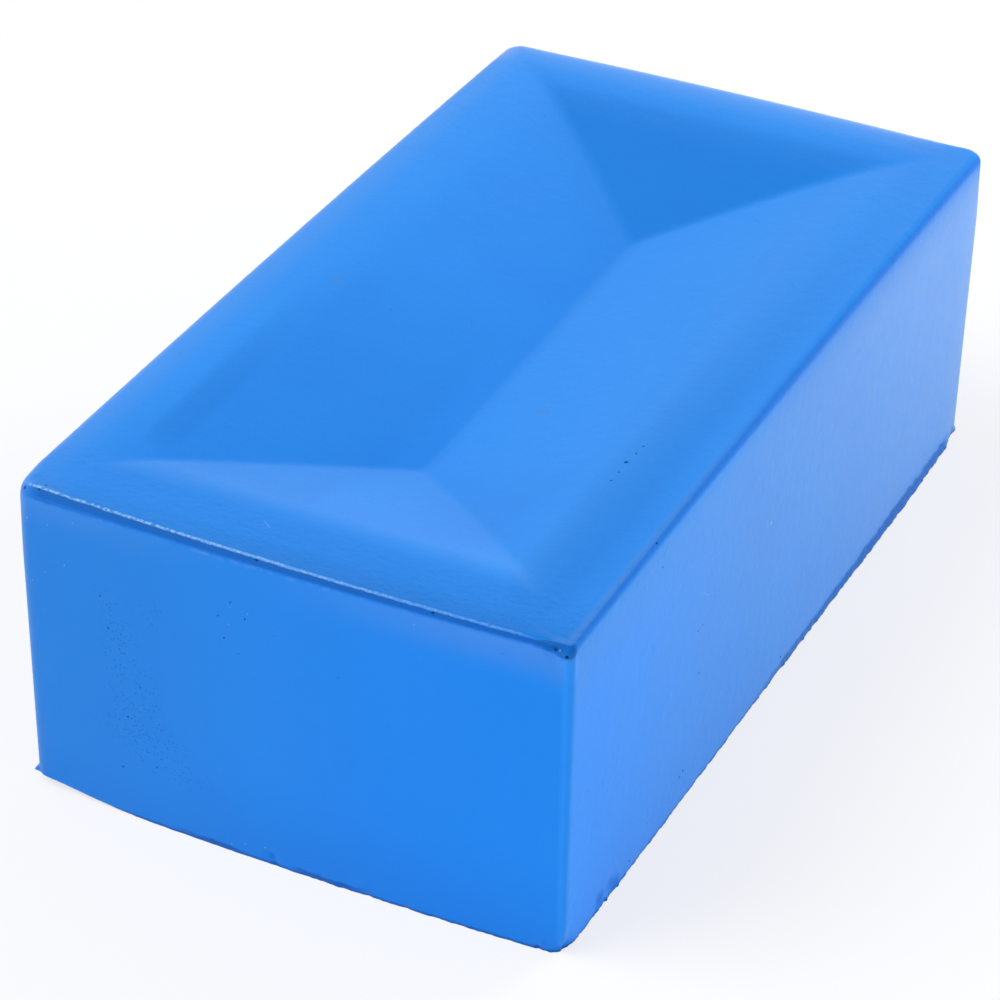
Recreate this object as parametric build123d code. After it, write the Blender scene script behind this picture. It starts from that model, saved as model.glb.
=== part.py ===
from build123d import *
import math
import os

# A palm-sized foam brick for squeezing, moulded as one piece with its skin on.
# Millimetres, +Z up. The long side lies along X, and the origin is at the middle of the base.

# Driving dimensions: the block
brick_length = 90.0      # along X, from corner to corner
brick_width = 50.0       # along Y, from corner to corner
brick_height = 30.6      # from the base to the crest of the rim
corner_radius = 1.6      # the four upright corners
end_bulge = 0.7          # how far the middle of an end wall stands proud of its corners
side_bulge = 0.3         # the same for a long wall, down at the base
side_sink = 0.25         # how far a long wall draws in at mid-length, up at the rim

# Driving dimensions: the hipped hollow in the top
rim_width = 6.7          # from the outside of a wall to where a slope starts
hollow_depth = 4.9       # from the crest down to the valley line
end_run = 17.3           # from the start of an end slope to its end of the valley
crease_radius = 3.0      # the valley and the four hips
blend_radius = 16.0      # the soft turn from the rim into each slope

# Driving dimensions: the outer part of the rim, which curves down to the edge
crest_land = 0.2         # the level strip along the crest
rim_fall = 0.45          # how far the outer edge lies below the crest
edge_radius = 0.65       # the moulded outer edge

# Driving dimensions: the parting flash left round the base
flash_reach = 0.2
flash_height = 0.4

# Worked out from the dimensions above
half_length = brick_length / 2
half_width = brick_width / 2
edge_height = brick_height - rim_fall
hollow_half_length = half_length - rim_width
hollow_half_width = half_width - rim_width
valley_half_length = hollow_half_length - end_run
slope_angle = math.atan(hollow_depth / min(end_run, hollow_half_width))
blend_reach = blend_radius * math.tan(slope_angle / 2)
fall_width = rim_width - side_sink - blend_reach - crest_land

# How far the cutting wedge reaches above the block, and how near counts as level
overrun = 2.0
tolerance = 0.001


def bowed_outline(side_bow, inset, height):
    """Closed outline at a height, with bowed walls and round corners, drawn in by an inset."""
    x = half_length - inset
    y = half_width - inset
    corners = [
        Vector(x, -y, height),
        Vector(x, y, height),
        Vector(-x, y, height),
        Vector(-x, -y, height),
    ]
    crowns = [
        Vector(x + end_bulge, 0, height),
        Vector(0, y + side_bow, height),
        Vector(-x - end_bulge, 0, height),
        Vector(0, -y - side_bow, height),
    ]
    walls = [ThreePointArc(corners[i], crowns[i], corners[(i + 1) % 4]) for i in range(4)]
    return fillet(make_face(Wire(walls)).vertices(), corner_radius)


def rim_outline(share):
    """Outline of the rim at a share of the way out from its crest; the fall is a parabola."""
    inset = fall_width * (1 - share)
    return bowed_outline(-side_sink, inset, brick_height - rim_fall * share**2)


def hipped_wedge():
    """What the hollow takes out: four slopes that meet along a valley line."""
    rise = (hollow_depth + overrun) / hollow_depth
    x = valley_half_length + end_run * rise
    y = hollow_half_width * rise
    brim = brick_height + overrun
    floor = brick_height - hollow_depth
    rim = [Vector(x, -y, brim), Vector(x, y, brim), Vector(-x, y, brim), Vector(-x, -y, brim)]
    east = Vector(valley_half_length, 0, floor)
    west = Vector(-valley_half_length, 0, floor)
    outlines = [
        rim,
        [rim[0], rim[1], east],
        [rim[1], rim[2], west, east],
        [rim[2], rim[3], west],
        [rim[3], rim[0], east, west],
    ]
    wedge = Solid(Shell([Face(Wire.make_polygon(outline)) for outline in outlines]))
    creases = [edge for edge in wedge.edges() if edge.center().Z < brim - tolerance]
    return fillet(creases, crease_radius)


def level_edges(shape, height, x_limit, y_limit):
    """Edges that lie level at a height, with their middles inside a rectangle."""
    found = []
    for edge in shape.edges():
        middle = edge.center()
        level = all(abs(vertex.Z - height) < tolerance for vertex in edge.vertices())
        if level and abs(middle.X) < x_limit and abs(middle.Y) < y_limit:
            found.append(edge)
    return found


# The block: four bowed walls, and a rim band that curves down from the crest to the edge
walls = loft([bowed_outline(side_bulge, 0, 0), rim_outline(1)], ruled=True)
rim_band = loft([rim_outline(1), rim_outline(0.5), rim_outline(0)])
block = walls + rim_band
block = fillet(level_edges(block, edge_height, brick_length, brick_width), edge_radius)

# The hollow, and the soft turn into it all the way round
block -= hipped_wedge()
mouth = level_edges(
    block, brick_height, hollow_half_length + tolerance, hollow_half_width + tolerance
)
block = fillet(mouth, blend_radius)

# The thin lip of flash that the trimming left round the base
flash = extrude(bowed_outline(side_bulge, -flash_reach, 0), flash_height)
foam_brick = block + flash

print("foam_brick valid", foam_brick.is_valid, "volume", round(foam_brick.volume))
os.makedirs("parts", exist_ok=True)
export_step(foam_brick, "parts/foam_brick.step")
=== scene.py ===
# %% [markdown]
# # A foam brick for squeezing
#
# The real brick is one piece of soft polyurethane foam. It is poured into a closed mould, where it
# rises and sets. Where the foam meets the cold mould it sets as a thin, dense skin, and that skin is
# all that shows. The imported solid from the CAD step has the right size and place, so it stays as the
# body that collides, and this script builds a finer skin that stands for it. Blender works in
# metres, and small parts are easier to think about in millimetres, so `mm` turns one into the other.

import math

import bmesh
import bpy
import numpy as np
from mathutils import Matrix, Vector, noise
from mathutils.bvhtree import BVHTree
from mathutils.kdtree import KDTree


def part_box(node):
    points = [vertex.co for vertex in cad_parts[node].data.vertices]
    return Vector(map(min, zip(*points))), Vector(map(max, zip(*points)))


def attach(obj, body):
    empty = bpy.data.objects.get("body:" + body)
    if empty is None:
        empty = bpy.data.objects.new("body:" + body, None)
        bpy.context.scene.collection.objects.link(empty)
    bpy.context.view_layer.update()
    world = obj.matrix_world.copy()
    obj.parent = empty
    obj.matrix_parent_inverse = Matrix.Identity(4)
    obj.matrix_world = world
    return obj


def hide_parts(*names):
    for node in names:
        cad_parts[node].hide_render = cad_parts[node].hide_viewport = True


mm = 0.001

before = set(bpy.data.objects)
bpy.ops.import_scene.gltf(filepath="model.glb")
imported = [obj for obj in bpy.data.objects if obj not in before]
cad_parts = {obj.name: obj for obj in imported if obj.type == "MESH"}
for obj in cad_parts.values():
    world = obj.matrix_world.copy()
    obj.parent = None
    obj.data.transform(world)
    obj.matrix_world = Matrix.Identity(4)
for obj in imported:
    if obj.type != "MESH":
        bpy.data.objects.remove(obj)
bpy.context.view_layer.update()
block_low, block_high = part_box("foam_brick")
print("packed brick in mm:", [round(side / mm, 2) for side in block_high - block_low])

# %% [markdown]
# ## The sizes of the block
#
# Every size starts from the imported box. A thin lip of flash sticks out round the base, and the end
# walls belly out at mid-width, so the corners of the block stand a little inside the box. The long
# walls belly out a little too, except that the right one draws in at the rim, where the foam shrank
# as it cooled.

# %% Sizes of the block
end_bulge_top = 0.65 * mm
end_bulge_base = 0.62 * mm
left_bulge_top = 0.35 * mm
right_bulge_top = -0.37 * mm
side_bulge_base = 0.3 * mm
draft = 0.15 * mm
near_lean_right = -0.03 * mm
near_lean_left = 0.24 * mm
left_inset_base = 0.08 * mm
left_inset_top = 0.36 * mm
end_margin = 0.9 * mm
side_margin = 0.5 * mm
half_length = block_high.x - end_margin
half_width = block_high.y - side_margin
crest_height = block_high.z
print("half length and half width in mm:", round(half_length / mm, 2), round(half_width / mm, 2))

# %% Upright corners, right and then left, in mm: radius down the wall, and at the rim
near_corners = [(0.45, 0.5), (1.2, 1.5)]
far_corners = [(1.2, 1.9), (1.5, 1.9)]
upright_radii = np.array([near_corners, far_corners]) * mm
print("corner radii at the rim in mm:", [rim for wall, rim in near_corners + far_corners])

# %% [markdown]
# ## The sizes of the hollow
#
# The top has a hollow like an upturned hipped roof: two long slopes, two end slopes, and a valley
# line between them. It is a little deeper at its near end. Each slope starts with a soft turn out of
# the rim. How deep that turn reaches is different on the four sides.

# %% Sizes of the hollow
rim_width = 6.7 * mm
mouth_x = half_length - rim_width
mouth_y = half_width - rim_width
valley_near = -21.4 * mm
valley_far = 20.1 * mm
near_depth = 5.4 * mm
far_depth = 4.4 * mm
crease = 0.2 * mm
turn_depths = {"near": 0.45 * mm, "far": 1.1 * mm, "right": 0.6 * mm, "left": 0.8 * mm}
turn_spread = 2 * mm
print("mouth of the hollow in mm:", round(2 * mouth_x / mm, 2), round(2 * mouth_y / mm, 2))

# %% [markdown]
# ## A surface made of rings
#
# The block could be modelled as a cube with subdivisions, but the fine detail sits in two thin bands,
# the top edge and the base edge. Rings of points put the detail where it is: they start at the middle
# of the base, run out to its edge, climb the walls, cross the rim and run down the slopes. A ring may
# have twice as many points as its neighbour, so that the bands are fine and the plain walls are not.
# All rings are the outline of one square, from -1 to 1 both ways, which is then stretched. The points
# stand closer together towards its corners, so that the shading of a tight corner doesn't spread.

# %% Points round a square
long_count = 128
short_count = 72
crowding = 0.4


def crowded(side):
    """Move points that run from -1 to 1 along a side closer together at its two ends."""
    return side + crowding * np.sin(np.pi * side) / np.pi


def round_the_square(doublings):
    """Two lists of coordinates from -1 to 1 that run once round a square, from its near right corner."""
    long_side = crowded(np.linspace(-1, 1, long_count * 2**doublings, endpoint=False))
    short_side = crowded(np.linspace(-1, 1, short_count * 2**doublings, endpoint=False))
    ones_long = np.ones_like(long_side)
    ones_short = np.ones_like(short_side)
    a = np.concatenate([long_side, ones_short, -long_side, -ones_short])
    b = np.concatenate([-ones_long, short_side, ones_long, -short_side])
    return a, b


squares = [round_the_square(doublings) for doublings in range(3)]
print("points in a ring:", [len(a) for a, b in squares])


# %% [markdown]
# ## Small mathematical tools
#
# `ramp` is a smooth step. A moulded surface has no perfectly sharp inside corner, so the valley and the
# hips all come from `softened`. `ripples` reads Blender's own smooth noise at many places.

# %% Tools
def ramp(value, start, end):
    """0 at start, 1 at end, and an S-shaped climb in between."""
    share = np.clip((value - start) / (end - start), 0, 1)
    return share * share * (3 - 2 * share)


def softened(first, second, width):
    """The smaller of two values, rounded where they are within a width of each other."""
    closeness = np.clip(width - np.abs(first - second), 0, None) / width
    return np.minimum(first, second) - closeness**2 * width / 4


def ripples(places, cell, shift=0.0):
    """Smooth noise from about -1 to 1 at each place, in bumps about one cell across."""
    return np.array([noise.noise(Vector(place) / cell + Vector((shift, shift, shift))) for place in places])


print("a ramp at a quarter of its way:", float(ramp(0.25, 0, 1)))

# %% [markdown]
# ## The outline
#
# At any height the block is a rectangle with round corners and gently bowed sides. A point of the
# square is first stretched to the rectangle. Then what lies beyond the inner rectangle, the one that
# the corner arcs are centred on, is pulled to the arc. Last, the sides are bowed.

# %% Outline at a height
rim_radius_from = 0.75
smallest_radius = 0.05 * mm
lean_height = 2.2 * mm


def corner_radius(square, climb):
    """The radius of the upright corner that each point of a square is nearest to."""
    a, b = square
    far = (a > 0).astype(int)
    left = (b > 0).astype(int)
    wall_radius, rim_radius = upright_radii[far, left].T
    return wall_radius + (rim_radius - wall_radius) * ramp(climb, rim_radius_from, 1)


def outline(square, inset, height):
    """Places on the outline of the block at a height, drawn in from the wall by an inset."""
    a, b = square
    climb = height / crest_height
    inside = 1 - ramp(inset, 0, rim_width)
    inset = inset - draft * (2 * climb - 1) * inside
    left = (b > 0) * (left_inset_base + (left_inset_top - left_inset_base) * climb) * inside
    radius = np.maximum(corner_radius(square, climb) - inset, smallest_radius)
    lean = (near_lean_right + (near_lean_left - near_lean_right) * (b + 1) / 2) * (a < 0) * inside
    lean = lean * ramp(height, crest_height - lean_height, crest_height)
    core_x = half_length - inset - radius - lean
    core_y = half_width - inset - left - radius
    x = a * (half_length - inset) + lean
    y = b * (half_width - inset - left)
    arc_x = x - np.clip(x, -core_x, core_x)
    arc_y = y - np.clip(y, -core_y, core_y)
    pull = radius / np.maximum(np.hypot(arc_x, arc_y), radius)
    x = x - arc_x * (1 - pull)
    y = y - arc_y * (1 - pull)
    side_bulge_top = np.where(b > 0, left_bulge_top, right_bulge_top)
    end_bow = (end_bulge_base + (end_bulge_top - end_bulge_base) * climb) * inside
    side_bow = (side_bulge_base + (side_bulge_top - side_bulge_base) * climb) * inside
    across = 1 - (y / half_width) ** 2
    along = 1 - (x / half_length) ** 2
    return x * (1 + end_bow * across / half_length), y * (1 + side_bow * along / half_width)


middle_of_sides = (np.array([0.0, 0.0]), np.array([-1.0, 1.0]))
print("right and left side at the rim in mm:", np.round(outline(middle_of_sides, 0, crest_height)[1] / mm, 2))

# %% [markdown]
# ## The height of the top
#
# Each slope is a plane, worked out as a depth below the rim. The smallest of the four depths is the
# hipped hollow, and `softened` rounds the valley and the hips. On the rim that depth is negative,
# so it is softened against zero, which gives the turn.

# %% Depth of the hollow
def hollow_depth(x, y):
    """Depth of the hipped hollow below the crest of the rim, which is zero out on the rim."""
    valley_share = (x - valley_near) / (valley_far - valley_near)
    valley_depth = near_depth + (far_depth - near_depth) * valley_share
    reach = {"near": x + mouth_x, "far": mouth_x - x, "right": y + mouth_y, "left": mouth_y - y}
    ends = softened(
        reach["near"] * near_depth / (valley_near + mouth_x),
        reach["far"] * far_depth / (mouth_x - valley_far),
        crease,
    )
    sides = softened(
        reach["right"] * valley_depth / mouth_y,
        reach["left"] * valley_depth / mouth_y,
        crease,
    )
    weights = {side: np.exp(-reach[side] / turn_spread) for side in reach}
    total = sum(weights.values())
    turn = sum(weights[side] / total * turn_depths[side] for side in reach)
    return -softened(-softened(ends, sides, crease), 0, turn)


def top_height(x, y):
    """Height of the top surface at a plan position."""
    return crest_height - hollow_depth(x, y)


valley_depths = hollow_depth(np.array([valley_near, valley_far]), np.zeros(2))
print("depth at the near and far end of the valley in mm:", np.round(valley_depths / mm, 2))

# %% [markdown]
# ## Lumps, dents and a ragged base
#
# The brick was cut out of its flash with a blade, so its base edge wanders a little, with small lumps
# where foam was left and dents where it tore. Each is a soft bump pushed out or in along the wall.
# Along part of the right side the flash was left on, as a narrow flare, and at the near left corner
# the cut ran upwards, so the base lifts off the table there.

# %% Lumps and dents, in mm: x, y and z of the middle, radius, and how far it stands out
wall_spots = [
    (-44.4, 24.9, 0.0, 0.35, 0.75), (-45.4, 1.6, 1.1, 0.3, -0.15), (-45.4, 1.1, 0.4, 0.35, -0.16),
    (-45.4, -7.6, 0.1, 0.25, -0.15), (-45.2, -22.8, 0.2, 0.3, -0.3), (-44.8, -25.2, 0.2, 1.0, -0.6),
    (-36.9, -25.2, 0.1, 0.24, 0.42), (-34.8, -25.2, 0.1, 0.22, 0.44), (-33.2, -25.2, 0.0, 0.2, 0.16),
    (-38.4, -25.2, 0.9, 0.6, -0.12), (-36.2, -25.2, 0.9, 0.6, -0.12), (5.9, -25.3, 0.1, 0.25, 0.14),
    (4.2, -25.3, 0.1, 0.2, 0.14), (-0.2, -25.3, 0.1, 0.25, 0.14), (-4.0, -25.3, 0.1, 0.25, 0.12),
    (28.2, -25.3, 0.1, 0.3, 0.14), (35.0, -25.3, 0.2, 0.3, 0.12), (43.4, -25.0, 0.3, 0.4, 0.3),
    (-45.3, -23.8, 29.8, 0.7, -0.25), (-45.0, 24.0, 30.1, 0.25, -0.25), (-42.3, -16.9, 30.3, 0.5, -0.1),
]


def stand_out(places, spots):
    """How far each place is pushed out by soft round spots."""
    total = np.zeros(len(places))
    for x, y, z, radius, push in spots:
        distance = np.linalg.norm(places - np.array([x, y, z]) * mm, axis=1)
        total += push * mm * np.exp(-((distance / (radius * mm)) ** 2))
    return total


print("lumps and dents:", len(wall_spots))

# %% The flare and the lifted corner
flare_reach = 0.5 * mm
flare_height = 1.0 * mm
flare_starts = (-3 * mm, 1 * mm)
flare_widens = (0, 32 * mm)
flare_ends = (39 * mm, 44 * mm)
flare_thickness = 0.1 * mm
corner_lift = 0.95 * mm
lift_across = (11 * mm, 26 * mm)
lift_along = (-44 * mm, -34 * mm)


def flare(places):
    """How far the flash that was left on the right side stands out from the wall."""
    x, y, z = places.T
    along = (0.2 + 0.8 * ramp(x, *flare_widens)) * ramp(x, *flare_starts) * (1 - ramp(x, *flare_ends))
    on_right = y < -20 * mm
    return flare_reach * along * on_right * (1 - ramp(z, flare_thickness, flare_height))


def lift(x, y):
    """How far the base is lifted off the table by the upward cut at the near left corner."""
    return corner_lift * ramp(y, *lift_across) ** 1.5 * (1 - ramp(x, *lift_along))


print("the near left corner is lifted in mm:", round(lift(-half_length, half_width) / mm, 2))

# %% Rings of the wall
cut_zone = (0.1 * mm, 0.7 * mm)
lump_size, lump_push = 1.3 * mm, 0.05 * mm
tooth_size, tooth_push = 0.4 * mm, 0.035 * mm
waver_size, waver_push, waver_zone = 0.6 * mm, 0.03 * mm, 1 * mm
lift_fade = 6 * mm
right_raggedness = 1.8
base_edge = [
    (0.9, 0.0), (0.45, 0.0), (0.2, 0.0), (0.07, 0.0), (0.02, 0.015), (0.0, 0.05),
    (0.0, 0.14), (0.0, 0.26), (0.0, 0.4), (0.0, 0.56), (0.0, 0.78),
]


def ring_of(x, y, z, below):
    """A ring as four columns: x, y and z, and how far it lies below the line of the lip, in mm."""
    return np.column_stack(np.broadcast_arrays(x, y, z, below))


def wall_ring(square, inset, height, below=None):
    """A ring of the wall at a height, with its lumps, dents and cut edge."""
    height = np.broadcast_to(height, square[0].shape)
    places = np.column_stack([*outline(square, inset, height), height])
    low = (1 - ramp(height, *cut_zone)) * np.where(places[:, 1] < 0, right_raggedness, 1)
    ragged = ripples(places, lump_size) * lump_push + ripples(places, tooth_size, 7) * tooth_push
    at_lip = ramp(height, crest_height - waver_zone, crest_height)
    lip_waver = ripples(places, waver_size, 3) * waver_push * at_lip
    push = stand_out(places, wall_spots) + flare(places) + low * ragged + lip_waver
    x, y = outline(square, inset - push, height)
    z = height + lift(x, y) * (1 - ramp(height, 0, lift_fade))
    if below is None:
        below = (crest_height - height) / mm
    return ring_of(x, y, z, below)


print("steps of the base edge:", len(base_edge))

# %% [markdown]
# ## The top edge
#
# Where the two halves of the mould met, the rim ends in a small sharp lip with a shallow band of denser skin
# under it. The lip runs along the near end only. On the other sides the edge is a plain rounding, an arc with
# its own radius on each side, a little larger at the near left corner. The lip is a profile, given as an
# inset from the wall and a drop from the edge at each step. The rounding has as many steps, so the mesh can
# mix the two by how strong the lip is at that place.

# %% Profiles of the top edge
edge_radii = {"near": 0.35 * mm, "far": 1.55 * mm, "right": 0.6 * mm, "left": 1.2 * mm}
side_spread = 1.5 * mm
corner_swell = 0.8 * mm
corner_spread = 2.2 * mm
last_step = 0.12
straight_drops = (2.6, 2.3, 2.1, 1.9)
turns = np.radians([0, 11, 22, 33, 44, 55, 66, 78, 90])
lipped_edge = [
    (0.00, 2.40), (-0.02, 1.90), (-0.05, 1.45), (-0.05, 1.18), (0.00, 1.06), (0.10, 0.98), (0.14, 0.84),
    (0.15, 0.60), (0.14, 0.34), (0.08, 0.15), (0.02, 0.07), (0.04, 0.01), (0.13, -0.02), (0.40, 0.00),
]


def lip_strength(square):
    """1 along the near end, dying out round its two corners, and 0 on the other three sides."""
    a, b = square
    return (1 - ramp(a, -1, -0.99)) * ramp(b, -1.0, -0.95) * (1 - ramp(b, 0.9, 0.99))


print("steps of the top edge:", len(lipped_edge))


# %% Width of the band and radius of the rounding
def band_width(x, y):
    """The width in mm of the band of dense skin under the top edge."""
    near = 1 - ramp(x, -half_length, -half_length + 0.8 * mm)
    corner = 0.6 * np.exp(-(((y + half_width - 0.6 * mm) / (1.3 * mm)) ** 2))
    near_width = 0.82 + 0.2 * y / half_width + 0.15 * ramp(y, 12 * mm, half_width) + corner
    side_width = 0.72 - 0.14 * x / half_length
    return side_width + (near_width - side_width) * near


def edge_radius(square):
    """The radius in mm of the plain rounding of the top edge at each point of a square."""
    a, b = square
    reach = {
        "near": (1 + a) * half_length, "far": (1 - a) * half_length,
        "right": (1 + b) * half_width, "left": (1 - b) * half_width,
    }
    weights = {side: np.exp(-reach[side] / side_spread) for side in reach}
    radius = sum(weights[side] * edge_radii[side] for side in reach) / sum(weights.values())
    near_left = np.exp(-((np.hypot(reach["near"], reach["left"]) / corner_spread) ** 2))
    return (radius + near_left * corner_swell) / mm


print("radius of the right and left edge in mm:", np.round(edge_radius(middle_of_sides), 2))


# %% Rings of the top edge
def plain_edge(square, step):
    """Inset and drop in mm of one step of the plain edge, from the wall round the turn to the rim."""
    radius = edge_radius(square)
    if step < len(straight_drops):
        return 0 * radius, straight_drops[step]
    turn = turns[min(step - len(straight_drops), len(turns) - 1)]
    past_turn = last_step * (step == len(lipped_edge) - 1)
    return radius * (1 - np.cos(turn)) + past_turn, radius * (1 - np.sin(turn))


def edge_ring(square, step):
    """One ring of the top edge: a mix of the plain rounding and the lip."""
    strength = lip_strength(square)
    plain_inset, plain_drop = plain_edge(square, step)
    lip_inset, lip_drop = lipped_edge[step]
    narrowing = 0.8 + 0.2 * square[1]
    inset = plain_inset + (lip_inset - plain_inset) * strength
    drop = plain_drop + (lip_drop * narrowing - plain_drop) * strength
    return wall_ring(square, inset * mm, crest_height - drop * mm, drop - np.clip(inset, 0, None))


print("the lip stands above the rim by mm:", -min(drop for inset, drop in lipped_edge))

# %% [markdown]
# ## Stacking the rings
#
# The two ends of the stack are not rings but lines: the middle line of the base, and the valley of the
# hollow. A line is a ring whose two long sides share their points and whose short sides shrink to one
# point each.

# %% Rings of points
def base_ring(square, share):
    """A ring of the flat base."""
    a, b = square
    x = a * (half_length * (1 - share) + (half_length - half_width) * share)
    y = b * half_width * (1 - share)
    return ring_of(x, y, lift(x, y), crest_height / mm)


def rim_ring(square, inset):
    """A ring of the rim."""
    x, y = outline(square, inset, crest_height)
    return ring_of(x, y, top_height(x, y), -inset / mm)


def slope_ring(square, share):
    """A ring of the four slopes, from the mouth at share 0 to the line of the valley at share 1."""
    a, b = square
    near_end = -mouth_x + (valley_near + mouth_x) * share
    far_end = mouth_x + (valley_far - mouth_x) * share
    x = near_end + (far_end - near_end) * (a + 1) / 2
    y = b * mouth_y * (1 - share)
    return ring_of(x, y, top_height(x, y), -rim_width / mm - 10 * share)


print("the middle of the base is a line of mm:", round(2 * (half_length - half_width) / mm, 2))

# %% The stack
base_shares = np.linspace(1, 0.1, 9)
wall_heights = np.linspace(1.6 * mm, crest_height - 3.6 * mm, 19)
rim_insets = (1.9, 2.3, 2.8, 3.3, 3.8, 4.3, 4.8, 5.3, 5.8, 6.25)
upper_shares = (0, 0.025, 0.05, 0.075, 0.1, 0.13, 0.17, 0.21, 0.26)
lower_shares = (0.32, 0.4, 0.5, 0.6, 0.7, 0.78, 0.84, 0.89, 0.92, 0.94, 0.955, 0.97, 0.98, 0.99, 1)

coarse, middle, fine = squares
rings = [base_ring(coarse, share) for share in base_shares]
rings.append(wall_ring(middle, 1.4 * mm, 0))
rings += [wall_ring(fine, inset * mm, height * mm) for inset, height in base_edge]
rings.append(wall_ring(middle, 0, 1.1 * mm))
rings += [wall_ring(coarse, 0, height) for height in wall_heights]
rings.append(wall_ring(middle, 0, crest_height - 3.0 * mm))
rings += [edge_ring(fine, step) for step in range(len(lipped_edge))]
rings += [rim_ring(middle, inset * mm) for inset in rim_insets]
rings += [slope_ring(middle, share) for share in upper_shares]
rings += [slope_ring(coarse, share) for share in lower_shares]
print("rings:", len(rings), "points:", sum(len(ring) for ring in rings))


# %% [markdown]
# ## Joining the rings into a mesh
#
# Two rings with the same number of points are joined by four-sided faces. Where one has twice as many,
# each wide gap takes three triangles. At the two lines some corners of a face are the same point, so
# each face drops its repeats, and the mesh closes with no loose points.

# %% Faces between rings
def line_numbers(first):
    """The point numbers of a ring that has shrunk to a line, which starts at a number."""
    last = first + long_count
    return [*range(first, last)] + [last] * short_count + [*range(last, first, -1)] + [first] * short_count


def gap_points(ring, gap, gaps):
    """The point numbers along one gap of a ring that is divided into a number of gaps."""
    first = gap * len(ring) // gaps
    last = (gap + 1) * len(ring) // gaps
    return [ring[k % len(ring)] for k in range(first, last + 1)]


def faces_between(lower, upper):
    """Faces that join two rings of point numbers, lower first, so that they face outwards."""
    gaps = min(len(lower), len(upper))
    faces = []
    for gap in range(gaps):
        low = gap_points(lower, gap, gaps)
        up = gap_points(upper, gap, gaps)
        if len(low) == len(up):
            faces.append([low[0], low[1], up[1], up[0]])
        elif len(low) > len(up):
            faces += [[low[0], low[1], up[0]], [low[1], up[1], up[0]], [low[1], low[2], up[1]]]
        else:
            faces += [[low[0], up[1], up[0]], [low[0], low[1], up[1]], [low[1], up[2], up[1]]]
    trimmed = [list(dict.fromkeys(face)) for face in faces]
    return [face for face in trimmed if len(face) > 2]


print("faces across a doubling:", len(faces_between(range(3), range(3, 9))))


# %% The skin as a mesh
def store(mesh, name, values):
    """Keep one number for each point of a mesh, under a name that a material can read."""
    layer = mesh.attributes.new(name, "FLOAT", "POINT")
    layer.data.foreach_set("value", np.asarray(values, dtype=np.float32))


def skin_mesh(rings):
    """The closed mesh of a stack of rings whose first and last are lines."""
    points = []
    numbers = []
    for k, ring in enumerate(rings):
        if k in (0, len(rings) - 1):
            numbers.append(line_numbers(len(points)))
            points += list(ring[: long_count + 1])
        else:
            numbers.append(range(len(points), len(points) + len(ring)))
            points += list(ring)
    faces = []
    for lower, upper in zip(numbers, numbers[1:]):
        faces += faces_between(lower, upper)
    points = np.array(points)
    mesh = bpy.data.meshes.new("foam_brick_skin")
    mesh.from_pydata(points[:, :3], [], faces)
    mesh.validate()
    store(mesh, "below_lip", points[:, 3])
    return mesh


brick_mesh = skin_mesh(rings)
print("faces:", len(brick_mesh.polygons))

# %% [markdown]
# ## Pinholes, specks, fibres and scratches
#
# Bubbles that reached the skin left pinholes, and handling left specks, short fibres and scratches.
# The larger ones are placed one by one, in millimetres, and each is then moved to the nearest point of
# the surface. A pinhole is far smaller than a face of the mesh, so the faces round each mark are halved
# a few times first. Then the points of a hole are pushed in, and how much each point belongs to a mark
# is stored on the mesh for the material.

# %% Pinholes and specks, in mm: place and radius
holes = [
    (-45.7, 2.0, 30.25, 0.15), (-45.6, -13.4, 30.2, 0.14), (-45.5, -18.2, 30.45, 0.1),
    (-45.4, -20.5, 30.4, 0.09), (-45.3, -23.6, 30.04, 0.19), (-45.1, -24.6, 29.57, 0.19),
    (-45.0, 24.2, 30.15, 0.2), (-45.3, 22.3, 30.25, 0.14), (-44.5, 21.9, 30.6, 0.1),
    (-45.6, 5.6, 23.9, 0.09), (-45.6, 5.1, 21.9, 0.09), (-45.6, 4.4, 25.6, 0.09), (-45.6, 3.1, 24.4, 0.09),
    (-45.5, 13.4, 14.0, 0.09), (-45.5, 14.8, 10.5, 0.11), (-45.5, 16.2, 19.0, 0.09),
    (-45.5, 12.2, 6.2, 0.09), (-45.5, 15.6, 5.0, 0.11), (-45.5, 16.8, 22.0, 0.09),
    (-22.2, -25.1, 3.2, 0.12), (-22.9, -25.1, 3.0, 0.12), (-19.3, -24.9, 16.4, 0.09),
    (-20.2, -24.9, 16.3, 0.1), (-19.7, -25.0, 11.7, 0.1), (-29.2, -24.8, 30.5, 0.11),
    (-28.2, -24.9, 27.6, 0.11), (-32.6, -25.1, 1.0, 0.1), (-0.9, -25.1, 1.3, 0.13),
    (-22.6, -17.7, 30.5, 0.11), (-21.2, -17.7, 30.5, 0.11), (-19.5, -17.6, 30.45, 0.22),
    (-18.0, -17.8, 30.5, 0.11), (-16.8, -17.9, 30.5, 0.11),
]
specks = [
    (-45.5, 23.5, 27.4, 0.1), (-45.5, 21.5, 27.4, 0.09), (-45.5, 20.1, 23.9, 0.09),
    (-45.5, 22.1, 22.5, 0.08), (-45.5, 23.4, 21.3, 0.08), (-45.5, 19.0, 28.4, 0.09),
    (-45.6, 4.4, 25.1, 0.08), (-45.6, 2.8, 25.0, 0.08), (-45.6, 4.6, 23.4, 0.08), (-45.6, -11.9, 28.8, 0.09),
    (-45.5, 5.2, 0.8, 0.1), (-45.5, 3.9, 1.3, 0.1), (-45.5, 2.0, 1.6, 0.1), (-45.4, -23.9, 30.2, 0.13),
]
print("pinholes:", len(holes), "specks:", len(specks))

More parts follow.
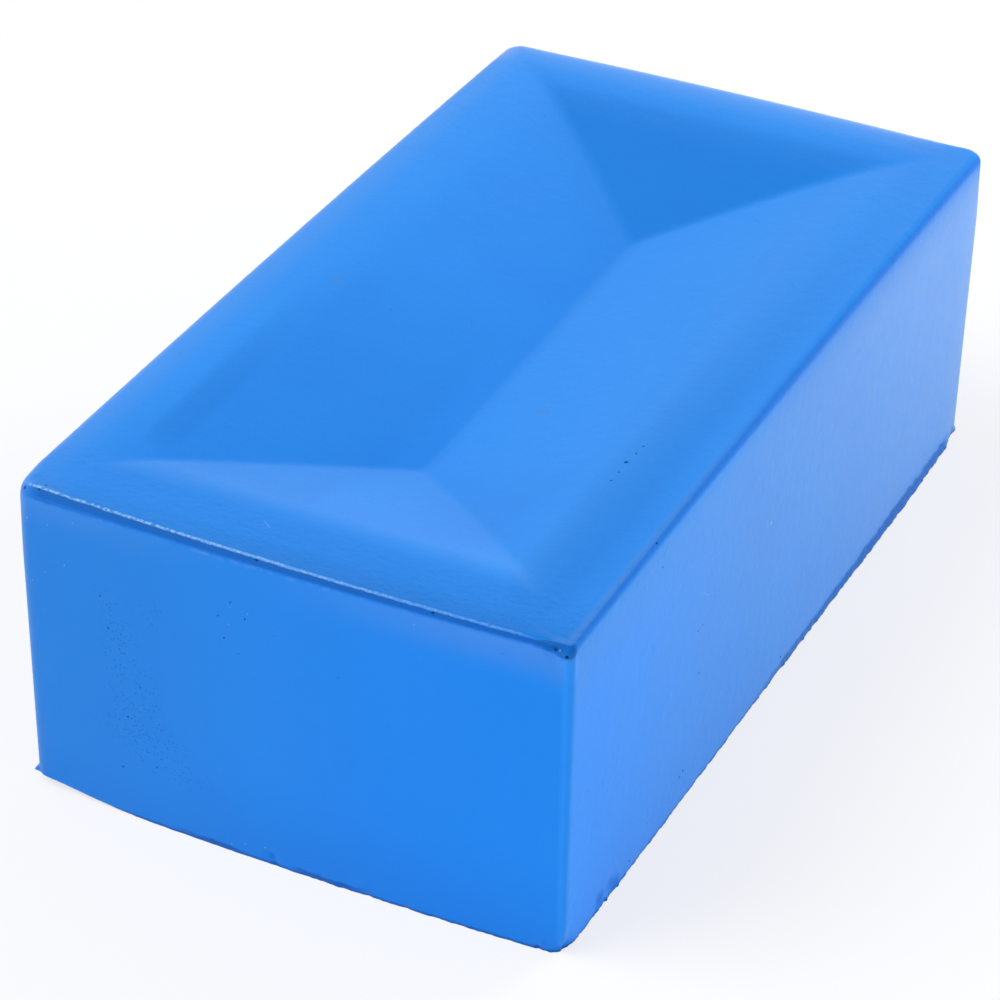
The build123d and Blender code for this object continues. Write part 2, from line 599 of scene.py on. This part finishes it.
# %% Fibres and scratches, in mm: two ends and radius
fibres = [
    ((-16.6, 22.0, 30.5), (-15.9, 21.5, 30.5), 0.06), ((-13.9, 17.8, 30.4), (-13.3, 17.1, 30.3), 0.06),
    ((-12.9, 14.6, 29.9), (-12.4, 14.1, 29.8), 0.05), ((-22.9, 23.1, 30.4), (-22.2, 22.6, 30.4), 0.05),
    ((-29.3, 14.8, 30.0), (-28.6, 14.1, 29.9), 0.05), ((12.7, -18.9, 30.4), (13.4, -18.5, 30.4), 0.06),
    ((-27.5, -24.9, 29.2), (-28.0, -24.9, 28.4), 0.1), ((-29.2, -24.9, 28.9), (-29.4, -24.9, 28.5), 0.06),
]
scratches = [
    ((-40.9, 3.9, 30.5), (-41.5, 3.1, 30.5), 0.07), ((-19.5, -25.0, 19.7), (-18.2, -25.0, 18.7), 0.06),
]
stroke_step = 0.12


def along_strokes(strokes):
    """Spots strung closely along each straight stroke."""
    spots = []
    for first, last, radius in strokes:
        first = Vector(first)
        last = Vector(last)
        count = math.ceil((last - first).length / stroke_step)
        spots += [(*first.lerp(last, k / count), radius) for k in range(count + 1)]
    return spots


marks = {
    "hole": holes,
    "speck": specks,
    "fibre": along_strokes(fibres),
    "scratch": along_strokes(scratches),
}
print("spots:", {name: len(spots) for name, spots in marks.items()})

# %% Marks moved to the surface
body = bmesh.new()
body.from_mesh(brick_mesh)
surface = BVHTree.FromBMesh(body)
placed = {}
for name, spots in marks.items():
    placed[name] = [(surface.find_nearest(Vector(spot[:3]) * mm)[0], spot[3] * mm) for spot in spots]
everything = [pair for pairs in placed.values() for pair in pairs]
tree = KDTree(len(everything))
for index, (centre, _) in enumerate(everything):
    tree.insert(centre, index)
tree.balance()
print("spots on the surface:", len(everything))

# %% Finer faces round the marks
halvings = 5
finest_edge = 0.055 * mm
mark_margin = 1.2
face_margin = 0.8

for halving in range(halvings):
    near_edges = set()
    for face in body.faces:
        _, index, distance = tree.find(face.calc_center_median())
        longest = max(edge.calc_length() for edge in face.edges)
        if distance < everything[index][1] * mark_margin + longest * face_margin:
            near_edges.update(face.edges)
    long_edges = [edge for edge in near_edges if edge.calc_length() > finest_edge]
    bmesh.ops.subdivide_edges(body, edges=long_edges, cuts=1, use_grid_fill=True)
bmesh.ops.triangulate(body, faces=[face for face in body.faces if len(face.verts) > 4])
body.to_mesh(brick_mesh)
body.free()
brick_mesh.shade_smooth()
print("faces round the marks included:", len(brick_mesh.polygons))


# %% Marks onto the mesh
hole_depth = 0.16 * mm
speck_height = 0.05 * mm
full_share = 0.4


def columns(layer, name):
    """A vector at each point of a mesh, as rows of three numbers."""
    numbers = np.empty(len(layer) * 3)
    layer.foreach_get(name, numbers)
    return numbers.reshape(-1, 3)


points = columns(brick_mesh.vertices, "co")
normals = columns(brick_mesh.vertex_normals, "vector")
shares = {}
for name, pairs in placed.items():
    share = np.zeros(len(points))
    for centre, radius in pairs:
        distance = np.linalg.norm(points - np.array(centre), axis=1)
        share = np.maximum(share, ramp(distance, radius, radius * full_share))
    shares[name] = share
    store(brick_mesh, name, share)
push = shares["speck"] * speck_height - shares["hole"] * hole_depth
brick_mesh.vertices.foreach_set("co", (points + normals * push[:, None]).ravel())
store(brick_mesh, "band_width", band_width(points[:, 0], points[:, 1]))

brick_mesh.calc_loop_triangles()
print("triangles:", len(brick_mesh.loop_triangles))


# %% The skin as an object
def new_object(name, data):
    """Put a mesh, a lamp or a camera into the scene."""
    made = bpy.data.objects.new(name, data)
    bpy.context.scene.collection.objects.link(made)
    return made


brick = new_object("foam_brick_skin", brick_mesh)
print("points:", len(brick_mesh.vertices))

# %% [markdown]
# ## Writing shader maths as plain sums
#
# A material is a web of small nodes, and a mask such as "low down, but not near the lip" takes many.
# `Wire` holds one socket and turns +, - and * into Math nodes, so a mask reads as a line of
# arithmetic. Any other node comes from its `node` method, and `connect` fills in the sockets of a node.
# `masked` is the shader's own smooth step.

# %% Wire
class Wire:
    """A socket of a node tree that can be used in sums."""

    def __init__(self, tree, socket):
        self.tree = tree
        self.socket = socket

    def connect(self, node, values):
        """Give the sockets of a node their values or links."""
        for name, value in values.items():
            if isinstance(value, Wire):
                self.tree.links.new(value.socket, node.inputs[name])
            else:
                node.inputs[name].default_value = value

    def node(self, kind, values, output=0, **settings):
        """Add a node of a kind with its settings, and fill in its sockets."""
        made = self.tree.nodes.new("ShaderNode" + kind)
        for name, value in settings.items():
            setattr(made, name, value)
        self.connect(made, values)
        return Wire(self.tree, made.outputs[output])

    def sum(self, operation, first, second):
        """A Math node of two values."""
        return self.node("Math", {0: first, 1: second}, operation=operation)

    def __add__(self, other):
        return self.sum("ADD", self, other)

    def __sub__(self, other):
        return self.sum("SUBTRACT", self, other)

    def __rsub__(self, other):
        return self.sum("SUBTRACT", other, self)

    def __mul__(self, other):
        return self.sum("MULTIPLY", self, other)

    __radd__ = __add__
    __rmul__ = __mul__

    def highest(self, other):
        """The larger of two values."""
        return self.sum("MAXIMUM", self, other)

    def size(self):
        """The value without its sign."""
        return self.highest(0 - self)


# %% Masks and mixes
def masked(value, none, full):
    """A mask that is 0 at one number, 1 at the other, and climbs in an S between them."""
    values = {"Value": value, "From Min": none, "From Max": full}
    return value.node("MapRange", values, interpolation_type="SMOOTHSTEP")


def within(value, rise, fall):
    """A mask that is 1 inside a range. Rise and fall each say where it is 0 and where it is 1."""
    return masked(value, *rise) * masked(value, *fall)


def strongest(masks):
    """The largest of several masks at each place."""
    result = masks[0]
    for mask in masks[1:]:
        result = result.highest(mask)
    return result


def blended(share, first, second):
    """A colour mixed from two."""
    return share.node("Mix", {0: share, 6: first, 7: second}, output=2, data_type="RGBA")


print("helpers: masked, within, strongest, blended")


# %% [markdown]
# ## The foam skin: where a point is
#
# The skin differs from place to place, so the material first needs to know where it is. Object
# coordinates give the place in metres, and it is turned into millimetres. The values that were stored
# on the mesh tell how far below the lip a point is, how wide the dense band is there, and which marks
# it belongs to. Three masks follow: the near wall, the right wall, and the top.

# %% Places on the skin
skin = bpy.data.materials.new("blue_foam_skin")
skin.use_nodes = True
skin_tree = skin.node_tree
skin_shader = skin_tree.nodes["Principled BSDF"]
start = Wire(skin_tree, None)

in_metres = start.node("TexCoord", {}, output="Object")
place = start.node("VectorMath", {"Vector": in_metres, "Scale": 1 / mm}, operation="SCALE")
at_x, at_y, at_z = [start.node("SeparateXYZ", {"Vector": place}, output=axis) for axis in "XYZ"]


def stored(name):
    """A value that was stored on the mesh."""
    return start.node("Attribute", {}, output="Fac", attribute_name=name)


def gap_to(spot, here=place):
    """The distance in mm from a spot."""
    return start.node("VectorMath", {0: here, 1: spot}, output="Value", operation="DISTANCE")


below_lip = stored("below_lip")
band = stored("band_width")
near_wall = masked(at_x, -44, -44.6) * masked(below_lip, -0.4, -0.15)
right_wall = masked(at_y, -24, -24.6) * masked(below_lip, 0.2, 0.5) * (1 - near_wall)
on_top = masked(below_lip, 0, -0.3)


def so_far():
    """Print how many nodes the skin has."""
    print("skin nodes so far:", len(skin_tree.nodes))


so_far()


# %% [markdown]
# ## Grain
#
# The skin of moulded foam has a very fine grain, like orange peel, over shallow lumps. Near the lip it
# shows faint wrinkles where it stretched. `grain` is Blender's noise at a chosen size, from 0 to 1, and
# it can be stretched. The offset moves it, so that two grains of one size don't fall in step.

# %% Grain of the skin
def grain(size, detail, offset=0, stretch=(1, 1, 1)):
    """Noise in lumps about as large as a size in mm."""
    moved = {0: place, 1: stretch, 2: (offset, offset, offset)}
    moved = start.node("VectorMath", moved, operation="MULTIPLY_ADD")
    return start.node("TexNoise", {"Vector": moved, "Scale": 1 / size, "Detail": detail})


peel_size = 1 / 2.8
wrinkle_size = 1 / 1.1
lump_grain_size = 1.3
cloud_size = 9
peel = grain(peel_size, 3, stretch=(0.6, 1, 1))
wrinkle = grain(wrinkle_size, 3, stretch=(1.25, 0.85, 1.25))
lumps = grain(lump_grain_size, 1, offset=9)
clouds = grain(cloud_size, 2, offset=4)
on_near_rim = within(below_lip, (-6.5, -5), (-0.1, -0.5)) * masked(at_x, -36, -41)
print("size of the peel and the wrinkles in mm:", round(peel_size, 2), round(wrinkle_size, 2))

# %% [markdown]
# ## The near end: dense band, worn lip, painted glint and painted sheen
# #
# Along the near end the worn lip carries a bright, broken line of painted glint. Under it runs a narrow band
# of dense, darker skin, deepened further by painted shade under the lip, and the foam just below the band has
# a paler painted sheen. `below_lip` measures down from the edge, so each of these is a range of it, and a
# little grain makes the range ragged.

# %% Dense band under the lip, deepened by painted shade
ragged_below = below_lip + (grain(0.5, 2, offset=2) - 0.5) * 0.2
right_corner_cut = masked(at_y, -21.5, -23.6) * 0.3
near_band = masked(ragged_below + right_corner_cut, 0.04, 0.14) * masked(ragged_below - band, 0.24, -0.16)
near_band = near_band * near_wall * (1 - masked(at_y, 22, 24) * masked(at_x, -43, -44) * 0.75)
so_far()

# %% Painted glint along the worn lip
lip_line = within(ragged_below, (-0.44, -0.16), (0.1, 0.02))
broken = masked(grain(0.24, 2, offset=5), 0.4, 0.6) * 0.9 + 0.1
broken = broken.highest(masked(at_y, 14, 4) * 0.45)
fainter_right = masked(at_y, -26, 8) * 0.7 + 0.3
glint = lip_line * broken * near_wall * within(at_y, (-22, -20), (24, 22.8)) * fainter_right
so_far()

# %% Painted sheen below the band
below_band = below_lip - band
left_shoulder_sheen = masked(below_band, 3, 0.3) * masked(at_y, 2, 22) * 0.4
right_shoulder_sheen = masked(below_band, 4, 0.5) * masked(at_y, 6, -20) * 0.7
close_shoulder_sheen = masked(below_band, 0.5, 0.1) * masked(grain(0.9, 3, offset=6), 0.35, 0.7)
shoulder_sheen = strongest([close_shoulder_sheen, left_shoulder_sheen, right_shoulder_sheen]) * masked(below_band, -0.02, 0.1) * near_wall
so_far()

# %% [markdown]
# ## The right edge and its corner
#
# Along the right side the dense skin lies on the rounding itself, and its darker blue there is partly painted
# shade. It starts narrow at the near end and slips down the wall as it runs to the far end. It is duller than
# the rest, and near the front it is rubbed pale. The upright at the near right corner has painted light, so
# it is brighter than the walls beside it.

# %% Right edge
band_middle = 0.1 - masked(at_x, -44, -32) * 0.1 + masked(at_x, -28, 20) * 0.45
off_middle = (below_lip - band_middle).size() - masked(at_x, -36, 5) * 0.25
# Dense skin on the rounding, its darker blue partly painted shade.
side_band = masked(off_middle, 0.78, 0.12) * masked(at_y, -23, -24) * (1 - near_wall)
by_right_edge = masked(at_y, -22.8, -23.6)
side_turn = within(below_lip, (-1, -0.5), (0.9, 0.5)) * by_right_edge
patchy = masked(grain(1.2, 3, offset=7), 0.25, 0.6) * 0.5 + 0.5
rubbed = within(below_lip, (-1.1, -0.6), (-0.1, -0.4)) * by_right_edge * masked(at_x, 8, -36) * patchy
# Painted light on the upright at the near right corner.
in_plan = start.node("VectorMath", {0: place, 1: (1, 1, 0)}, operation="MULTIPLY")
painted_corner_light = masked(gap_to((-45.1, -25, 0), in_plan), 0.95, 0.35) * masked(below_lip, 1, 1.8)
so_far()

# %% [markdown]
# ## Painted light and shade on the hollow and the walls
# #
# The lamps give most of the light and shade, and the rest is painted into the colour: a little deeper in some
# places as painted shade, and paler in others as painted light. Such broad, soft differences are easiest as a
# few masks, each a product of ranges along x, y and z in millimetres.

# %% Painted shade on the rims
near_rim_shade = masked(at_x, -37.5, -44.2) * (masked(at_y, 16, -8) * 0.65 + 0.25)
right_rim_shade = masked(at_x, 40, -42) * within(at_y, (-15, -19), (-24, -21))
lip_shade = masked(at_x, -42.6, -45) * 0.4
painted_rim_shade = (near_rim_shade.highest(right_rim_shade) * 0.5 + lip_shade) * on_top
so_far()

# %% Painted shade
near_left_dip = masked(gap_to((-34, 13, 29)), 14, 2) * 0.25
left_slope = masked(at_y, 1, 4) * masked(at_z, 30.45, 29.9) * masked(at_x, 8, -16) * 0.27
left_turn = within(at_y, (14.5, 17), (19.9, 18.3)) * within(at_x, (-38, -32), (2, -30)) * 0.6
far_slope = masked(at_x - at_y.size() * 1.05, 19, 21.5) * masked(at_x, 40, 37) * 0.45
wall_foot = masked(at_z, 10, 0) * near_wall * 0.36
wall_left = masked(at_y, 0, 18) * near_wall * 0.18
wall_top = masked(below_lip, 5.5, 0.7) * masked(at_x, -22, 26) * right_wall * 0.42
painted_shade = strongest([near_left_dip, left_slope, left_turn, far_slope]) * on_top
painted_shade = strongest([painted_shade, wall_foot, wall_left, wall_top])
so_far()

# %% Painted light
right_slope = masked(at_z, 30.4, 29) * masked(at_y, 0, -1.5) * masked(at_x, -30, -16)
right_slope = right_slope * masked(at_x + at_y * 1.1, 21, 19) * 0.5
far_rim = masked(at_x, 33, 41) * masked(at_y, -22, -8)
rims = masked(at_y, 14, 21).highest(far_rim) * masked(at_x, -42, -30) * 0.35
right_turn = within(at_y, (-21.5, -18.5), (-10, -15)) * within(at_x, (-42, -37), (40, 35))
painted_light = strongest([right_slope, rims, right_turn * 0.35]) * on_top
# Painted light on the near wall and on the near part of the right wall.
painted_end_light = masked(at_y, 18, -20) * near_wall * 0.8
painted_wall_light = painted_end_light.highest(masked(at_x, -5, -42) * right_wall * masked(below_lip, 0, 9))
so_far()

# %% [markdown]
# ## Painted sheen on the edges and the right wall
# #
# The far and left plain edges carry a pale painted sheen along their rounding. The right wall has a whitish
# painted sheen. It grows towards the far end, is weaker near the base at mid-length, and is broken up by a
# fine mottle.

# %% Painted sheen on the far and left edges
far_edge_sheen = masked(below_lip, -5.5, -1.5) * 0.2 + masked(below_lip, -2.6, -1.2) * 0.35
far_edge_sheen = far_edge_sheen + masked(below_lip, -1.5, -0.5) * 0.4
far_edge_sheen = far_edge_sheen * masked(at_x, 38, 43) * masked(at_y, -24.5, -16)
left_edge_sheen = masked(below_lip, -4.5, -0.8) * 0.17 + masked(below_lip, -1.4, 0) * 0.25
left_edge_sheen = left_edge_sheen * masked(at_y, 18.5, 23) * (masked(at_x, -46, -34) * 0.7 + 0.3)
painted_edge_sheen = far_edge_sheen.highest(left_edge_sheen) * masked(below_lip, 2, 0.4)
left_end = masked(at_y, 22.6, 25.2) * masked(at_x, -42, -44) * masked(below_lip, 0.2, 0.8)
so_far()

# %% Painted sheen on the right wall
mottle = grain(1.6, 2, offset=11) * 0.6 + 0.7
low_middle = masked(at_z, 20, 5) * within(at_x, (-25, -10), (26, 14)) * 0.14
painted_sheen = masked(at_x, -60, 42) + masked(at_x, 39, 45) * 0.5 - low_middle
painted_sheen = painted_sheen * mottle * right_wall * (masked(below_lip, 0.4, 2.8) * 0.9 + 0.1)
so_far()

# %% [markdown]
# ## The cut base
#
# The flash that was left along the base is the same dense skin as the band, and shows as a dark strip with a
# wavy top. A fine dark line of painted shade runs all round the base, where it meets the table.

# %% Strip, and the painted shade along the base
on_flare = within(at_x, (-8, 0.5), (42.5, 40)) * masked(at_y, -24, -24.6) * 0.9
left_strip = within(at_y, (2.4, 5.2), (11.2, 8))
right_strip = within(at_y, (-8.6, -5), (0.2, -2))
strip_top = 0.75 - near_wall * 0.2 + (grain(1.4, 2, offset=3) - 0.5) * 0.8
near_strip = left_strip.highest(right_strip) * near_wall
strip = masked(at_z - strip_top, 0.14, -0.14) * on_flare.highest(near_strip)
painted_base_shade = masked(at_z, 0.42, 0.15) * masked(below_lip, 20, 24)
so_far()

# %% [markdown]
# ## Smudges, shaded dents and pores
# #
# Soft round spots stand for the few grey smudges, which grain breaks up, and for the dents by the lumps of
# the base, painted a deeper blue as shade and rougher than the skin round them. The smallest pores are too
# many to place. A Voronoi pattern gives one random point in each cell of space, and only some of its cells
# are used. Most of the pinpricks lie in a belt round a smooth patch of the near wall. Pores and pinpricks are
# painted dark, as shade in their tiny pits.

# %% Smudges and shaded dents, in mm: place and radius
smudges = [
    (42.9, -18.7, 30.5, 1), (-11.3, -6, 27, 1.2), (-4.3, 17.4, 30.4, 1), (-45.5, 13.2, 27.9, 0.7),
]
dent_shades = [
    (-38.3, -25.2, 1.1, 1.25), (-37.7, -25.2, 0.3, 0.7), (-36.3, -25.2, 1.2, 1.15), (-35.2, -25.2, 0.6, 1.1),
    (-45.4, 1.4, 0.9, 0.5), (-45.3, -23.2, 0.8, 0.6),
]


def round_spots(spots, core):
    """A mask of soft round spots, each full within a core, a share of its radius."""
    return strongest([masked(gap_to((x, y, z)), radius, radius * core) for x, y, z, radius in spots])


smudge = round_spots(smudges, 0.3) * masked(grain(0.6, 3, offset=8), 0.3, 0.7)
painted_dent_shade = round_spots(dent_shades, 0.2)
ring_mark = within(gap_to((-4.8, -25.1, 17.9)), (0.14, 0.2), (0.28, 0.22))
print("smudges:", len(smudges), "bruises:", len(dent_shades))


# %% Pores and pinpricks
def random_points(scale):
    """One point in each cell of space: the distance to the nearest, and a chance for its cell."""
    values = {"Vector": place, "Scale": scale, "Randomness": 1}
    gap = start.node("TexVoronoi", values, output="Distance")
    colour = start.node("TexVoronoi", values, output="Color")
    return gap, start.node("SeparateColor", {"Color": colour})


pore_gap, pore_chance = random_points(0.42)
pore = masked(pore_gap, 0.055, 0.02) * masked(pore_chance, 0.45, 0.5)
prick_gap, prick_chance = random_points(3.6)
outside_patch = (at_y - 11.2).highest((at_y - at_z + 0.3) * 0.7)
patch = masked(outside_patch, 0.2, -0.2) * near_wall
patch = patch * masked(at_y, -8, 2) * masked(at_z, 26, 23)
belt = within(outside_patch, (-0.1, 0.3), (7, 4)) * within(at_z, (3, 7), (25, 21)) * near_wall
elsewhere = masked(grain(4, 1, offset=1), 0.6, 0.7) * 0.15
pinprick = masked(prick_gap, 0.3, 0.12) * masked(prick_chance, 0.3, 0.4) * belt.highest(elsewhere)
so_far()

# %% [markdown]
# ## Putting the skin together
#
# The colours go on as a painter would lay glazes: the blue of the foam first, then each mask with its own
# strength and colour, broad tones before wear, and wear before the small marks. Dense skin and painted shade
# are a deeper blue, and painted light and sheen are paler ones. Holes are nearly black, because no light
# comes back out of them.

# %% Colours of the skin: red, green and blue
foam_blue = (0.009, 0.222, 0.78)
cloud_blue = (0.009, 0.235, 0.8)
painted_wall_light_blue = (0, 0.235, 0.9)
painted_sheen_white = (0.5, 0.46, 0.3)
painted_light_blue = (0.009, 0.27, 0.88)
painted_shade_blue = (0, 0.165, 0.62)
edge_sheen_blue = (0.2, 0.38, 0.84)
left_end_blue = (0.03, 0.19, 0.6)
shoulder_sheen_lavender = (0.11, 0.29, 0.8)
dense_blue = (0, 0.128, 0.54)
side_band_blue = (0.008, 0.158, 0.67)
flash_and_shade_blue = (0, 0.085, 0.4)
dent_shade_blue = (0, 0.155, 0.7)
rubbed_blue = (0.07, 0.235, 0.66)
corner_light_blue = (0.015, 0.3, 1)
smudge_grey = (0.06, 0.2, 0.5)
glint_blue = (0.36, 0.62, 0.9)
lint_white = (0.36, 0.6, 0.88)
pore_shade_blue = (0, 0.05, 0.28)
hole_black = (0.002, 0.01, 0.04)
print("the blue of the foam:", foam_blue)

# %% Layers: mask, strength and colour
hole = stored("hole")
lint = strongest([stored("scratch") * 0.3, stored("speck") * 0.35, ring_mark * 0.45])
layers = [
    (painted_wall_light, 1, painted_wall_light_blue),
    (painted_sheen, 0.17, painted_sheen_white),
    (painted_light, 1, painted_light_blue),
    (painted_rim_shade, 1, painted_shade_blue),
    (painted_edge_sheen, 1, edge_sheen_blue),
    (painted_shade, 1, painted_shade_blue),
    (left_end, 0.8, left_end_blue),
    (shoulder_sheen, 0.55, shoulder_sheen_lavender),
    (near_band, 0.95, dense_blue),
    (side_band, 0.85, side_band_blue),
    (strip.highest(painted_base_shade), 0.85, flash_and_shade_blue),
    (painted_dent_shade, 0.85, dent_shade_blue),
    (rubbed, 0.6, rubbed_blue),
    (painted_corner_light, 0.8, corner_light_blue),
    (smudge, 0.35, smudge_grey),
    (glint, 0.7, glint_blue),
    (lint, 1, lint_white),
    (stored("fibre"), 0.65, dense_blue),
    # Pores and pinpricks: painted shade in the tiny pits.
    ((pore * 0.35).highest(pinprick * 0.75), 1, pore_shade_blue),
    (hole, 0.9, hole_black),
]
tone = blended(masked(clouds, 0.35, 0.65) * 0.6 + patch * 0.4, (*foam_blue, 1), (*cloud_blue, 1))
for mask, strength, colour in layers:
    tone = blended(mask * strength, tone, (*colour, 1))
print("layers of colour:", len(layers))

# %% [markdown]
# ## The finish of the skin
#
# The grain goes into a Bump node as a height in millimetres, so it stays in step with the real size. A
# weak sheen stands for the microscopic roughness of foam, which looks paler at a glancing angle. It is
# the same all over.

# %% Height and roughness
peel_height = 0.016
rim_peel_height = 0.014
lump_height = 0.02
wrinkle_height = 0.04
pore_depth = 0.03
height = peel * (on_near_rim * rim_peel_height + peel_height) + lumps * lump_height * (1 - patch * 0.6)
height = height + wrinkle * wrinkle_height * on_near_rim - pore * pore_depth
bump = start.node("Bump", {"Strength": 1, "Distance": 1 * mm, "Height": height})
plain_roughness = 0.42
rough = plain_roughness + (peel - 0.5) * 0.15 - glint * 0.15 + hole * 0.3 + side_turn * 0.48 + painted_dent_shade * 0.4
so_far()

# %% The whole skin
finish = {
    "Base Color": tone, "Normal": bump, "Roughness": rough, "Specular IOR Level": 0.12,
    "Sheen Weight": 0.16, "Sheen Roughness": 0.5, "Sheen Tint": (0.65, 1, 1, 1),
}
start.connect(skin_shader, finish)
brick.data.materials.append(skin)
print("roughness of the plain skin:", plain_roughness)

# %% [markdown]
# ## Table
#
# The brick stands on a white table that runs out of sight. The table is lit like everything else, so it
# keeps the soft shadow. Seen by the camera, part of its shade is replaced by plain white, which makes
# the light background of a studio without putting any more light on the brick.

# %% White table
table_reach = 3.0
table_grey = (0.9, 0.9, 0.9, 1)
matt = 0.9
shade_replaced = 0.7
table = new_object("table", bpy.data.meshes.new("table"))
corners = [(-1, -1), (1, -1), (1, 1), (-1, 1)]
table.data.from_pydata([(x * table_reach, y * table_reach, 0) for x, y in corners], [], [(0, 1, 2, 3)])
table_white = bpy.data.materials.new("white_table")
table_white.use_nodes = True
table_tree = table_white.node_tree
table_shader = table_tree.nodes["Principled BSDF"]
lit_table = Wire(table_tree, table_shader.outputs["BSDF"])
lit_table.connect(table_shader, {"Base Color": table_grey, "Roughness": matt, "Specular IOR Level": 0})
replaced = lit_table.node("LightPath", {}, output="Is Camera Ray") * shade_replaced
plain_white = lit_table.node("Emission", {"Color": (1, 1, 1, 1), "Strength": 1})
table_look = lit_table.node("MixShader", {0: replaced, 1: lit_table, 2: plain_white})
table_look.connect(table_tree.nodes["Material Output"], {"Surface": table_look})
table.data.materials.append(table_white)
print("table reaches", table_reach, "m each way")

# %% [markdown]
# ## Room and lamps
#
# Even light from all round is what a white tent gives, and it shows a colour as it is. The world does
# most of that, and where it is seen or mirrored it is plain white. Three soft round lamps add a little
# direction: a wide one high on the left, one low and close behind the far end, which brightens the
# slopes that face it, and a weak one low in front of the near right corner. The low one behind would
# glare off the rim when the brick is seen from the other side, so it lights the foam but isn't mirrored
# in it. A lamp's share is the part of full white that it gives to a surface that faces it, and the
# power follows from the distance.

# %% Room
room_light = 0.475
room = bpy.data.worlds.new("room")
bpy.context.scene.world = room
room.use_nodes = True
room_tree = room.node_tree
room_start = Wire(room_tree, None)
rays = ("Is Camera Ray", "Is Glossy Ray", "Is Transmission Ray")
shown = strongest([room_start.node("LightPath", {}, output=ray) for ray in rays])
room_strength = room_light + shown * (1 - room_light)
shown.connect(room_tree.nodes["Background"], {"Strength": room_strength, "Color": (1, 1, 1, 1)})
print("room light:", room_light)


# %% Lamps
def direction_at(heading, elevation):
    """A direction from its angles in degrees: a compass heading, 0 being +Y, and how far it rises."""
    turn = math.radians(heading)
    rise = math.radians(elevation)
    return Vector((math.sin(turn) * math.cos(rise), math.cos(turn) * math.cos(rise), math.sin(rise)))


def soft_lamp(name, heading, elevation, distance, size, share, glare=True):
    """A round lamp aimed at the middle, from a direction and a distance."""
    lamp = bpy.data.lights.new(name, "AREA")
    lamp.shape = "DISK"
    lamp.size = size
    lamp.energy = share * math.pi**2 * distance**2
    stand = new_object(name, lamp)
    direction = direction_at(heading, elevation)
    stand.location = direction * distance
    stand.rotation_euler = (-direction).to_track_quat("-Z", "Y").to_euler()
    stand.visible_glossy = glare
    print(name, "gives", round(lamp.energy, 2), "W")


soft_lamp("lamp_high_left", 325, 52, 1.2, 0.9, 0.67)
soft_lamp("lamp_low_back", 118, 12, 0.4, 0.16, 0.85, glare=False)
soft_lamp("lamp_front", 225, 12, 0.35, 0.2, 0.09)

# %% [markdown]
# ## Camera
#
# The camera looks down on one long side and one end of the brick from about a foot away, with a long
# lens. Its heading is measured from +Y, its dip from level, and a slight roll keeps the uprights level
# with the real ones. Shift and depth of field stay off.

# %% Camera
camera_place = Vector((-242.4, -115.2, 187.15)) * mm
camera_heading = 63.957
camera_dip = 33.466
camera_roll = math.radians(0.862)
camera = new_object("camera", bpy.data.cameras.new("camera"))
camera.data.lens = 128.3
camera.data.sensor_width = 36
camera.data.clip_start = 10 * mm
look = direction_at(camera_heading, -camera_dip)
roll = Matrix.Rotation(camera_roll, 3, "Z").to_quaternion()
camera.rotation_mode = "QUATERNION"
camera.rotation_quaternion = look.to_track_quat("-Z", "Y") @ roll
camera.location = camera_place
bpy.context.scene.camera = camera
bpy.context.scene.view_settings.view_transform = "Standard"
print("camera is", round(camera_place.length, 3), "m from the middle of the base")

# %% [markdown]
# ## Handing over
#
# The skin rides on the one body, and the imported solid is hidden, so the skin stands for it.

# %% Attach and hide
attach(brick, "root")
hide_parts("foam_brick")
